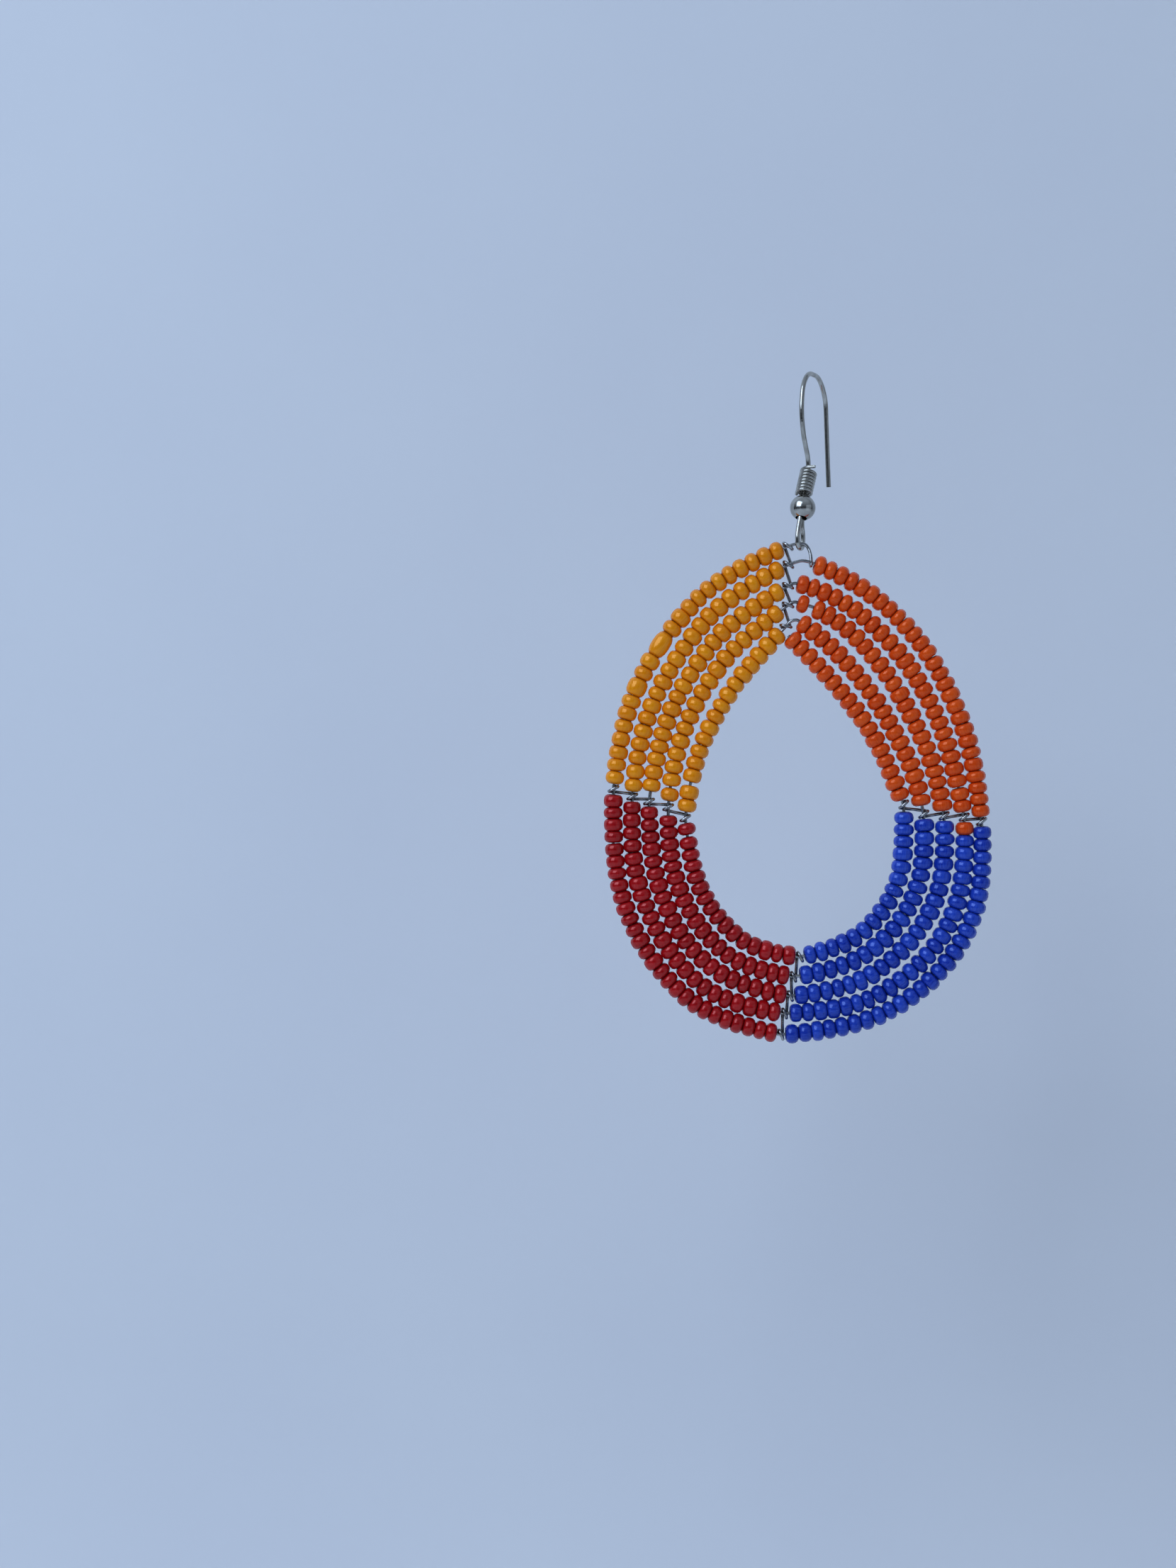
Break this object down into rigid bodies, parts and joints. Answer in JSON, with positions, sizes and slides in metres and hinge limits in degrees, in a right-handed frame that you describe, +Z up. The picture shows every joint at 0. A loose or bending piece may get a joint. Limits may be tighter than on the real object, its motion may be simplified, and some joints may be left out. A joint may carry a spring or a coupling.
{
  "type": "beaded drop earring",
  "caption": "Teardrop earring of coloured seed beads strung in close rows on a spiral of wire, tied across with wire and hung from a coiled ear hook with a small ball.",
  "frame": {"origin": "the underside of the top of the ear hook's arch, where the ear carries it", "axes": "+Z up, -Y the front of the drop, +X to the viewer's right; the drop hangs below in a plane square to Y"},
  "size_m": [0.0475, 0.0095, 0.0829],
  "materials": {
    "hook_steel": "polished",
    "frame_wire": "polished",
    "orange_beads": "opaque glass, glossy",
    "blue_beads": "opaque glass, glossy",
    "red_beads": "opaque glass, glossy",
    "yellow_beads": "opaque glass, glossy"
  },
  "bodies": {
    "hook": {"ear_hook": "hook_steel", "hook_ball": "hook_steel", "hook_coil": "hook_steel"},
    "drop": {"row_wire": "frame_wire", "top_arch": "frame_wire", "tie_top": "frame_wire", "tie_right": "frame_wire", "tie_bottom": "frame_wire", "tie_left": "frame_wire", "beads_orange_1": "orange_beads", "beads_orange_2": "orange_beads", "beads_orange_3": "orange_beads", "beads_orange_4": "orange_beads", "beads_orange_5": "orange_beads", "beads_blue_1": "blue_beads", "beads_blue_2": "blue_beads", "beads_blue_3": "blue_beads", "beads_blue_4": "blue_beads", "beads_blue_5": "blue_beads", "beads_red_1": "red_beads", "beads_red_2": "red_beads", "beads_red_3": "red_beads", "beads_red_4": "red_beads", "beads_red_5": "red_beads", "beads_yellow_1": "yellow_beads", "beads_yellow_2": "yellow_beads", "beads_yellow_3": "yellow_beads", "beads_yellow_4": "yellow_beads", "beads_yellow_5": "yellow_beads"}
  },
  "joints": [
    {"name": "drop_swing", "type": "hinge", "parent": "hook", "child": "drop", "pos_m": [-0.00207, -0.00388, -0.02112], "axis": [1, 0, 0], "range_deg": [-90, 90]}
  ]
}
